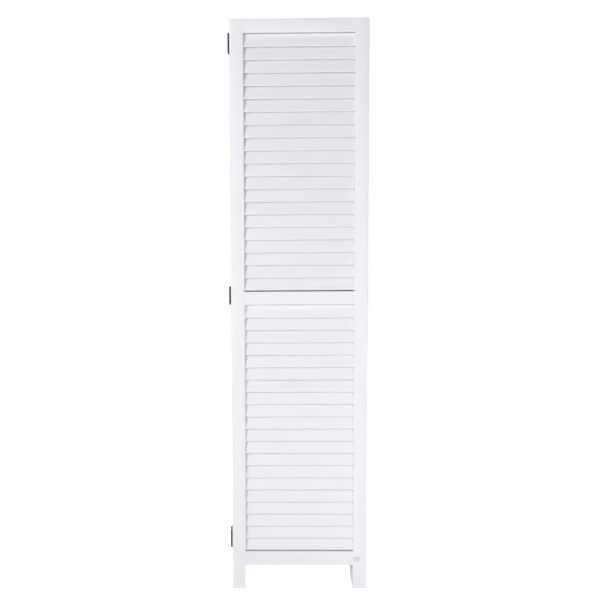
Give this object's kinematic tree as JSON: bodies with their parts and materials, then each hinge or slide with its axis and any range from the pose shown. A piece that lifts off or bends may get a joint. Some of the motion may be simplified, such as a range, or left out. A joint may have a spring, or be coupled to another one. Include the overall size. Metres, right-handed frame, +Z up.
{
  "type": "folding room divider screen",
  "caption": "Folding screen of tall louvred panels with fixed sloping slats, hinged edge to edge so that it folds flat or opens as a zigzag.",
  "frame": {"origin": "on the floor, in the middle of the folded stack", "axes": "+Z up, +X to the right and +Y to the back, seen from the front; panel 1 is in front, and the stack is folded flat"},
  "size_m": [0.417, 0.0788, 1.702],
  "materials": {
    "painted_wood": "thin white paint, satin",
    "hinge_metal": "dark grey lacquer",
    "pin_metal": "dark grey lacquer",
    "label": "plain grey film"
  },
  "bodies": {
    "panel_1": {"panel_1_left_stile": "painted_wood", "panel_1_right_stile": "painted_wood", "panel_1_bottom_rail": "painted_wood", "panel_1_middle_rail": "painted_wood", "panel_1_top_rail": "painted_wood", "panel_1_lower_louvre": "painted_wood", "panel_1_upper_louvre": "painted_wood", "hinge_1_2_bottom_front_leaf": "hinge_metal", "hinge_1_2_bottom_pin": "pin_metal", "hinge_1_2_middle_front_leaf": "hinge_metal", "hinge_1_2_middle_pin": "pin_metal", "hinge_1_2_top_front_leaf": "hinge_metal", "hinge_1_2_top_pin": "pin_metal", "panel_1_label": "label"},
    "panel_2": {"panel_2_left_stile": "painted_wood", "panel_2_right_stile": "painted_wood", "panel_2_bottom_rail": "painted_wood", "panel_2_middle_rail": "painted_wood", "panel_2_top_rail": "painted_wood", "panel_2_lower_louvre": "painted_wood", "panel_2_upper_louvre": "painted_wood", "hinge_1_2_bottom_rear_leaf": "hinge_metal", "hinge_1_2_middle_rear_leaf": "hinge_metal", "hinge_1_2_top_rear_leaf": "hinge_metal", "hinge_2_3_bottom_front_leaf": "hinge_metal", "hinge_2_3_bottom_pin": "pin_metal", "hinge_2_3_middle_front_leaf": "hinge_metal", "hinge_2_3_middle_pin": "pin_metal", "hinge_2_3_top_front_leaf": "hinge_metal", "hinge_2_3_top_pin": "pin_metal"},
    "panel_3": {"panel_3_left_stile": "painted_wood", "panel_3_right_stile": "painted_wood", "panel_3_bottom_rail": "painted_wood", "panel_3_middle_rail": "painted_wood", "panel_3_top_rail": "painted_wood", "panel_3_lower_louvre": "painted_wood", "panel_3_upper_louvre": "painted_wood", "hinge_2_3_bottom_rear_leaf": "hinge_metal", "hinge_2_3_middle_rear_leaf": "hinge_metal", "hinge_2_3_top_rear_leaf": "hinge_metal", "hinge_3_4_bottom_front_leaf": "hinge_metal", "hinge_3_4_bottom_pin": "pin_metal", "hinge_3_4_middle_front_leaf": "hinge_metal", "hinge_3_4_middle_pin": "pin_metal", "hinge_3_4_top_front_leaf": "hinge_metal", "hinge_3_4_top_pin": "pin_metal"},
    "panel_4": {"panel_4_left_stile": "painted_wood", "panel_4_right_stile": "painted_wood", "panel_4_bottom_rail": "painted_wood", "panel_4_middle_rail": "painted_wood", "panel_4_top_rail": "painted_wood", "panel_4_lower_louvre": "painted_wood", "panel_4_upper_louvre": "painted_wood", "hinge_3_4_bottom_rear_leaf": "hinge_metal", "hinge_3_4_middle_rear_leaf": "hinge_metal", "hinge_3_4_top_rear_leaf": "hinge_metal"}
  },
  "joints": [
    {"name": "fold_1_2", "type": "hinge", "parent": "panel_1", "child": "panel_2", "pos_m": [-0.2059, -0.02, 0.889], "axis": [0, 0, 1], "range_deg": [0, 180]},
    {"name": "fold_2_3", "type": "hinge", "parent": "panel_2", "child": "panel_3", "pos_m": [0.2059, 0, 0.889], "axis": [0, 0, -1], "range_deg": [0, 180]},
    {"name": "fold_3_4", "type": "hinge", "parent": "panel_3", "child": "panel_4", "pos_m": [-0.2059, 0.02, 0.889], "axis": [0, 0, 1], "range_deg": [0, 180]}
  ]
}
